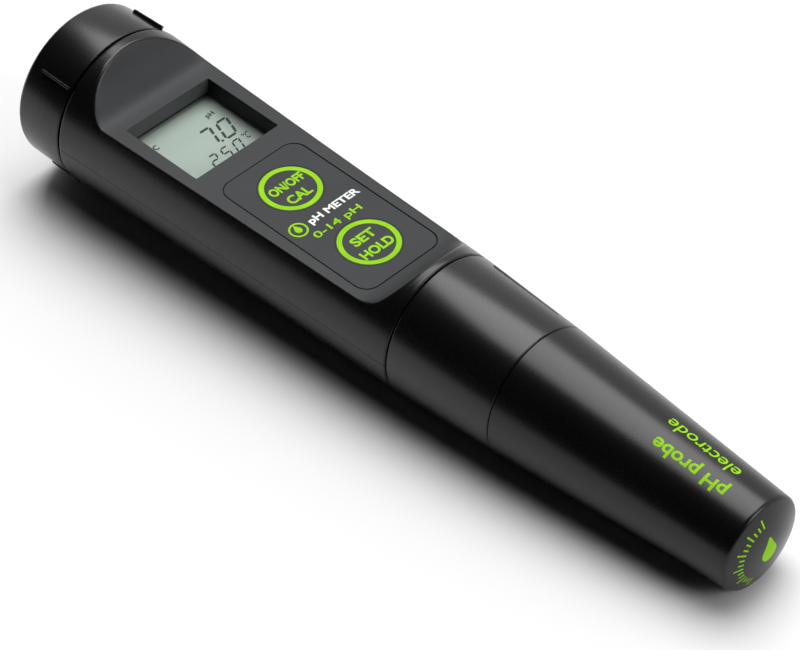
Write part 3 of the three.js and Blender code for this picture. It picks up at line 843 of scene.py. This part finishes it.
def makeFilm():
    z0, z1, inset = filmLow.z, filmHigh.z, pad["groove"]
    film = roundedCutter("keypad_film", pad["x0"] + inset, pad["x1"] - inset, pad["y"] - inset,
                         pad["corner"] - inset, z0, z1, 0)
    for v in film.data.vertices:
        v.co.z = min(v.co.z, z1)
    tidySkin(film)
    opening = keyShape["visible"] + keyShape["play"]
    for x in keyPlaces.values():
        hole = turned("hole", [(z0 - 1, 0), (z0 - 1, opening), (z1 + 1, opening), (z1 + 1, 0)],
                      closed=False, steps=96)
        combine(film, upright(hole, x, 0), "DIFFERENCE")
    settle(film, "case_body", "film_grey", ["keypad_overlay"], 25)


def makeKey(name, body, p=keyShape):
    z1, stemEnd = filmHigh.z, span("key_" + name)[0].z
    under, stem, edge = z1 - p["film"], p["stem"], p["visible"]
    key = turned(name + "_key", [
        (stemEnd, 0), (stemEnd, stem, 0.2), (under, stem, 0.2), (under, edge, 0.06), (z1, edge, 0.05),
        (z1, 6.9), (z1 + 0.012, p["domeRadius"]), (z1 + p["dome"], 0),
    ], closed=False, steps=96)
    settle(upright(key, keyPlaces[name], 0), body, "film_grey", ["key_" + name], 25)


textShape = {"size": 4, "extrude": 0.5, "curveSteps": 6, "thick": 0.02}


def lettering(name, text, width, height, weight, p=textShape):  # solid letters, scaled to that size
    deselect()
    bpy.ops.object.text_add(location=(0, 0, 0))
    words = bpy.context.object
    words.data.body = text
    words.data.size, words.data.extrude, words.data.resolution_u = p["size"], p["extrude"], p["curveSteps"]
    words.data.offset = weight
    bpy.ops.object.convert(target="MESH")
    piece = named(name)
    tidySkin(piece)
    low = Vector([min(v.co[k] for v in piece.data.vertices) for k in range(3)])
    high = Vector([max(v.co[k] for v in piece.data.vertices) for k in range(3)])
    size, centre = high - low, (low + high) / 2
    scale = Matrix.Diagonal((width / size.x, height / size.y, p["thick"] / size.z, 1))
    piece.data.transform(scale @ Matrix.Translation(-centre))
    return piece


def across(piece, x, y, z):  # words on the keypad read towards +Y, with their tops to -X
    turn = Matrix(((0, -1, 0), (1, 0, 0), (0, 0, 1))).to_4x4()
    piece.data.transform(Matrix.Translation((x, y, z)) @ turn)
    return piece


def flatRing(name, x, y, z, inner, outer, thick):
    ring = turned(name, [(z, inner), (z, outer), (z + thick, outer), (z + thick, inner)], steps=96)
    return upright(ring, x, y)


keyPrints = {  # words, middle x, middle y, width, height
    "on_off": [("ON/OFF", 65.0, 0.15, 9.4, 2.5), ("CAL", 69.2, -0.2, 6.2, 2.6)],
    "set_hold": [("SET", 87.75, 0.1, 6.3, 2.6), ("HOLD", 92.0, 0.0, 8.6, 2.6)],
    "weight": 0.14, "ring": (5.62, 6.75),
}
filmPrints = {  # words, width, height, weight, middle x, middle y
    "title": ("pH METER", 14.2, 2.5, 0.12, 76.9, 2.5), "range": ("0-14 pH", 13.2, 2.5, 0.06, 80.8, -0.2),
    "drop": (76.75, -7.8), "dropSize": 1.15, "ring": (1.72, 2.15),
}
inkThick = 0.018


def makeKeyPrints(name, body, p=keyPrints):
    z = filmHigh.z + 0.001
    circle = flatRing(name + "_ring_print", keyPlaces[name], 0, z, *p["ring"], inkThick)
    printed(circle, body, "ink_green")
    words = []
    for text, x, y, width, height in p[name]:
        words.append(across(lettering("word", text, width, height, p["weight"]), x, y, z + 0.02))
    printed(joined(name + "_words_print", words), body, "ink_green")


def makeFilmPrints(p=filmPrints):
    z, zLow = filmHigh.z + 0.012, filmHigh.z + 0.002
    text, width, height, weight, x, y = p["title"]
    title = across(lettering("title_print", text, width, height, weight), x, y, z)
    printed(title, "case_body", "ink_white")
    text, width, height, weight, x, y = p["range"]
    line = across(lettering("range_print", text, width, height, weight), x, y, z)
    printed(line, "case_body", "ink_green")
    circle = flatRing("drop_ring_print", *p["drop"], zLow, *p["ring"], inkThick)
    printed(circle, "case_body", "ink_green")
    printed(drop("drop_print", *p["drop"], zLow, p["dropSize"]), "case_body", "ink_green")


dropShape = {"columns": 36, "width": 0.72, "waist": 0.30, "length": 0.8, "point": 0.6}


def drop(name, x, y, z, size, p=dropShape):  # a droplet, its point towards -X
    thick, count = inkThick, p["columns"]
    path = [(0, 0), (1, 0), (1, thick), (0.75, thick), (0.5, thick), (0.25, thick), (0, thick)]

    def place(i, j):
        share, height = path[i]
        a = 2 * math.pi * j / count
        tip = max(0, math.cos(a))
        r = share * size
        side = r * math.sin(a) * (p["width"] - p["waist"] * tip ** 2)
        return Vector((x - r * math.cos(a) * (p["length"] + p["point"] * tip ** 3), y + side, z + height))

    return formedSheet(name, len(path) - 1, count, place)


lcdLow, lcdHigh = span("lcd_glass")
segmentsOn = {"0": "abcdef", "2": "abged", "5": "afgcd", "7": "abc", "C": "afed"}
segmentShape = {"gap": 0.2, "slant": 0.5, "lean": 0.32, "thick": 0.02}
displayMarks = {
    "digits": [  # sign, top left corner, width, height, stroke
        ("7", 35.3, 2.2, 3.5, 5.9, 0.66), ("0", 35.5, 6.9, 3.6, 5.9, 0.66), ("2", 42.4, -1.6, 2.3, 3.8, 0.45),
        ("5", 42.4, 1.85, 2.3, 3.8, 0.45), ("0", 42.4, 5.3, 2.3, 3.8, 0.45), ("C", 42.2, 9.3, 1.3, 2.0, 0.32),
    ],
    "points": [  # corners
        [(40.6, 4.15), (40.6, 4.75), (41.2, 4.7), (41.2, 4.1)],
        [(45.7, 3.35), (45.7, 3.8), (46.15, 3.75), (46.15, 3.3)],
    ],
    "words": [("pH", 2.2, 1.8, 32.9, 8.2), ("C", 1.2, 1.6, 32.4, -7.3)],  # width, height, middle
    "weight": 0.12, "degree": (42.5, 8.75), "degreeRadii": (0.16, 0.36),
}
glassShape = {"gap": 0.02, "round": 0.15, "paneGap": 0.05, "paneRound": 0.12}


def segmentDigit(sign, x, y, width, height, stroke, z, p=segmentShape):
    half, gap, slant, lean = height / 2, stroke * p["gap"], stroke * p["slant"], p["lean"]
    bars = {  # where each bar starts and ends, down and across
        "a": (slant, slant, slant, width - slant), "g": (half, slant, half, width - slant),
        "d": (height - slant, slant, height - slant, width - slant), "f": (slant, slant, half, slant),
        "b": (slant, width - slant, half, width - slant), "e": (half, slant, height - slant, slant),
        "c": (half, width - slant, height - slant, width - slant),
    }
    parts = []
    for letter in segmentsOn[sign]:
        x0, y0, x1, y1 = bars[letter]
        start, end = Vector((x + x0, y + y0)), Vector((x + x1, y + y1))
        ahead = (end - start).normalized()
        side = Vector((-ahead.y, ahead.x)) * slant
        start, end = start + ahead * gap, end - ahead * gap
        inner, outer = start + ahead * slant, end - ahead * slant
        outline = [start, inner + side, outer + side, end, outer - side, inner - side]
        parts.append(plate("bar", [(a, b - lean * (a - x)) for a, b in outline], z, p["thick"]))
    return joined("digit", parts)


def plate(name, outline, z, thick):  # a thin flat solid with that outline
    count = len(outline)
    piece = formedSheet(name, 1, count, lambda i, j: Vector((*outline[j % count], z + i * thick)))
    capEnds(piece)
    return piece


def makeDisplay(p=displayMarks, g=glassShape):
    gap, thick = Vector((g["gap"],) * 3), segmentShape["thick"]
    panel = block("lcd_panel", lcdLow + gap, lcdHigh - gap, g["round"])
    settle(panel, "case_body", "crystal_grey", ["lcd_glass"])
    z = lcdHigh.z - g["gap"] + 0.002
    marks = [segmentDigit(*digit, z) for digit in p["digits"]]
    marks += [plate("point", corners, z, thick) for corners in p["points"]]
    for text, width, height, x, y in p["words"]:
        marks.append(across(lettering("word", text, width, height, p["weight"]), x, y, z + 0.01))
    marks.append(flatRing("degree", *p["degree"], z, *p["degreeRadii"], thick))
    printed(joined("lcd_segments", marks), "case_body", "segment_black")
    side, under = g["paneGap"], g["gap"]
    pane = block("window_pane", windowLow + Vector((side, side, under)), windowHigh - Vector((side, side, 0)),
                 g["paneRound"])
    settle(pane, "case_body", "window_clear", ["display_window"])


sleevePrints = {  # words, width, height, weight, far end x, angle from the top
    "title": ("pH probe", 18.2, 4.0, 0.1, 179.7, -12.0),
    "line": ("electrode", 18.4, 3.2, 0.02, 178.4, 13.5),
    "lift": 0.012, "slice": 0.35,
    "ticks": 16, "tickFrom": 10, "tickTurn": 9.4, "tickFoot": 6.7, "tickWidth": 0.4, "tickThick": 0.02,
    "tickLong": 2.1, "tickShort": 1.2, "dropSize": 2.9, "dropDown": -0.2, "endLift": 0.004,
}


def wrapped(piece, x, angle, p=sleevePrints):  # bends flat words round the cap, reading towards -X
    edit(piece)
    ys = [v.co.y for v in piece.data.vertices]
    y = min(ys) + 0.3
    while y < max(ys) - 0.05:
        bpy.ops.mesh.select_all(action="SELECT")
        bpy.ops.mesh.bisect(plane_co=(0, y, 0), plane_no=(0, 1, 0))
        y += p["slice"]
    leaveEdit()
    for v in piece.data.vertices:
        along = x - v.co.x
        r = sleeveRadius(along) + p["lift"] + v.co.z
        a = math.radians(angle) - v.co.y / sleeveRadius(along)
        v.co = (along, r * math.sin(a), r * math.cos(a))
    return piece


def standing(piece, z):  # turns a flat mark to face along the long axis
    piece.data.transform(Matrix.Translation((0, 0, z)) @ Matrix.Rotation(math.pi / 2, 4, "Y"))
    return piece


def makeSleevePrints(p=sleevePrints):
    for name in ("title", "line"):
        text, width, height, weight, x, angle = p[name]
        words = lettering("sleeve_" + name + "_print", text, width, height, weight)
        printed(wrapped(words, x, angle), "sleeve", "ink_green")
    ticks = []
    for k in range(p["ticks"]):
        long = p["tickLong"] if k % 3 == 0 else p["tickShort"]
        foot, half = p["tickFoot"], p["tickWidth"] / 2
        tick = block("tick", (0, -half, foot), (p["tickThick"], half, foot + long))
        turn = math.radians(p["tickFrom"] + k * p["tickTurn"])
        tick.data.transform(Matrix.Rotation(turn, 4, "X"))
        ticks.append(tick)
    droplet = standing(drop("drop", 0, 0, 0, p["dropSize"]), p["dropDown"])
    marks = joined("tip_marks_print", ticks + [droplet])
    edit(marks)
    bpy.ops.mesh.subdivide(number_cuts=2)
    leaveEdit()
    for v in marks.data.vertices:  # laid on the dome
        v.co.x += domeAt(math.hypot(v.co.y, v.co.z)) + p["endLift"]
    printed(marks, "sleeve", "ink_green")


squeeze = 0.94  # a seal is pressed flat to this share of its section


def sealRing(name, node, body, section):
    low, high = span(node)
    deselect()
    radius = high.z - section
    bpy.ops.mesh.primitive_torus_add(major_radius=radius, minor_radius=section, major_segments=96,
                                     minor_segments=16, rotation=(0, math.pi / 2, 0))
    piece = named(name)
    bpy.ops.object.transform_apply(location=False, rotation=True, scale=False)
    for v in piece.data.vertices:  # squeezed a little flat where it seals
        r = math.hypot(v.co.y, v.co.z)
        flat = radius + max(min(r - radius, section * squeeze), -section * squeeze)
        v.co.y *= flat / r
        v.co.z *= flat / r
        v.co.x += (low.x + high.x) / 2
    tidySkin(piece)
    settle(piece, body, "silicone_rubber", [node])


def foamDisc(name, node, body, roundness):
    low, high = span(node)
    x0, x1, r = low.x + 0.03, high.x - 0.03, high.z - 0.1
    disc = turned(name, [(x0, 0), (x0 + 0.04, r * 0.6), (x0, r, roundness), (x1, r, roundness),
                         (x1 - 0.04, r * 0.6), (x1, 0)], closed=False, steps=96)
    settle(disc, body, "foam_open", [node])


def turnedNode(name, node, body, look, corners, steps=96, offset=(0, 0)):
    piece = turned(name, corners, False, steps)
    piece.data.transform(Matrix.Translation((0, *offset)))
    return settle(piece, body, look, [node])


electrodeShape = {  # turned sections as (x, radius) or (x, radius, fillet)
    "body": [(120.2, 0), (120.2, 13.2, 0.3), (123.1, 13.2, 0.3), (123.1, 12, 0.2), (141, 12, 0.15),
             (141, 11, 0.1), (142.8, 11, 0.1), (142.8, 12, 0.15), (146, 12, 0.5), (148, 8.5, 0.6),
             (176, 8.5, 0.3), (176, 7.5, 0.2), (124, 7.5), (124, 0)],
    "plug": [(109.3, 0), (109.3, 11, 0.4), (112, 11, 0.15), (112, 9.95), (113.8, 9.95), (113.8, 11, 0.15),
             (120.1, 11), (120.1, 0)],
    "guard": [(176.3, 0), (176.3, 8.4, 0.3), (187, 8.4, 0.6), (187, 7.1, 0.5), (178.4, 7.1, 0.4), (178.4, 0)],
    "window": {"from": 180.4, "to": 188, "half": 3.6, "reach": 9.4, "round": 0.8},
    "holes": [(3.7, 0), (1.4, 6), (1.2, -6)],  # radius, height above the long axis
    "bulb": {"middle": 181.8, "outer": 4.4, "inner": 3.7, "top": 186.2, "topInner": 185.5},
    "stem": [(178.2, 2.7), (127, 2.7), (127, 3.4, 0.2), (178.2, 3.4)],
    "temperature": [(150, 0), (150, 1.1), (184.5, 1.1, 0.9), (184.5, 0)],
    "reference": [(172, 0), (172, 0.9), (179.2, 0.9, 0.25), (179.2, 0)],
    "pins": 4, "pinRadius": 0.46, "pinRound": 0.35,
}


def makeGuard(p=electrodeShape):
    guard = turned("bulb_guard_cage", p["guard"], closed=False)
    w = p["window"]
    for turn in (0, math.pi / 2):
        window = block("window", (w["from"], -w["half"], -w["reach"]), (w["to"], w["half"], w["reach"]),
                       w["round"], 4, lambda a, b: abs(a.x - w["from"]) < 0.1 and abs(b.x - w["from"]) < 0.1
                       and abs(a.y - b.y) < 0.1)
        window.data.transform(Matrix.Rotation(turn, 4, "X"))
        combine(guard, window, "DIFFERENCE")
    for radius, z in p["holes"]:
        hole = turned("hole", [(170, 0), (170, radius), (180, radius), (180, 0)], closed=False, steps=48)
        hole.data.transform(Matrix.Translation((0, 0, z)))
        combine(guard, hole, "DIFFERENCE")
    settle(guard, "electrode", "electrode_black", ["bulb_guard"])


def makeElectrode(p=electrodeShape):
    for name, node, part in (("electrode_body_shell", "electrode_body", "body"),
                             ("electrode_plug_body", "electrode_plug", "plug")):
        turnedNode(name, node, "electrode", "electrode_black", p[part])
    makeGuard()
    b = p["bulb"]
    arc = [math.radians(a) for a in range(51, 181, 6)]
    outer = [(b["middle"] - b["outer"] * math.cos(a), b["outer"] * math.sin(a)) for a in arc]
    inner = [(b["middle"] - b["inner"] * math.cos(a), b["inner"] * math.sin(a)) for a in reversed(arc[1:])]
    glass = [(b["topInner"], 0)] + inner + p["stem"] + outer + [(b["top"], 0)]
    turnedNode("glass_bulb", "glass_electrode", "electrode", "sensor_glass", glass, 72)
    turnedNode("temperature_probe", "temperature_pin", "electrode", "plated_steel",
               p["temperature"], 40, (0, 6))
    turnedNode("reference_plug", "reference_junction", "electrode", "junction_ceramic",
               p["reference"], 40, (0, -6))
    for k in range(p["pins"]):
        node = "plug_pin_%d" % (k + 1)
        low, high = span(node)
        middle = (low + high) / 2
        pin = [(low.x, 0), (low.x, p["pinRadius"], p["pinRound"]), (high.x, p["pinRadius"]), (high.x, 0)]
        turnedNode("contact_" + node, node, "electrode", "gold_plate", pin, 24,
                   (middle.y, middle.z))


cellShape = {"count": 4, "gap": 0.03, "capInset": 0.9, "lipInset": 0.85, "lip": 0.45, "can": 0.5}


def makeCells(p=cellShape):
    for k in range(p["count"]):
        node = "button_cell_%d" % (k + 1)
        low, high = span(node)
        middle = (low + high) / 2
        r = (high.y - low.y) / 2 - p["gap"]
        can = [(low.x, 0), (low.x, r - p["capInset"], 0.3), (low.x + p["lip"], r - p["lipInset"], 0.12),
               (low.x + p["can"], r, 0.35), (high.x, r, 0.4), (high.x, 0)]
        turnedNode(node + "_can", node, "case_body", "plated_steel", can, 64,
                   (middle.y, middle.z))


cadLooks = {
    "ivory_moulding": ["lcd_frame", "battery_holder", "electrode_socket"],
    "silicone_rubber": ["zebra_strip_head", "zebra_strip_tip"], "solder_mask": ["main_board"],
    "chip_black": ["controller_chip", "amplifier_chip", "buzzer_disc", "switch_on_off", "switch_set_hold"],
    "plated_steel": ["crystal_can", "tank_capacitor"] + ["board_screw_%d" % k for k in range(1, 5)],
    "ribbon_white": ["socket_flat_cable", "pull_ribbon"], "gold_plate": ["contact_minus", "contact_plus"],
    "silver_drawn": ["silver_wire"],
}


def dressCadNodes():
    for look, nodes in cadLooks.items():
        for node in nodes:
            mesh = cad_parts[node].data
            mesh.materials.clear()
            mesh.materials.append(looks[look])


addCamera(cameraPlace)
addFloor(floorShape, floorLook())
addLights()
addBackdrop(backdrop)
print("camera, floor and lights placed")
makeCase()
print("case shell made")
makeBatteryCap()
makeCollar()
makeSleeve()
print("cap, collar and sleeve made")
makeFilm()
for keyName, keyBody in (("on_off", "on_off_key"), ("set_hold", "set_hold_key")):
    makeKey(keyName, keyBody)
    makeKeyPrints(keyName, keyBody)
makeFilmPrints()
makeDisplay()
makeSleevePrints()
print("keypad, display and prints made")
sealRing("cap_seal", "battery_cap_oring", "case_body", 0.62)
sealRing("plug_seal", "plug_oring", "electrode", 0.6)
sealRing("neck_seal", "neck_oring", "electrode", 0.62)
foamDisc("pressure_pad", "cap_pad", "cap_carriage", 0.5)
foamDisc("wetting_sponge", "storage_sponge", "sleeve", 1.0)
makeElectrode()
makeCells()
dressCadNodes()
print("electrode, cells and inner parts made")
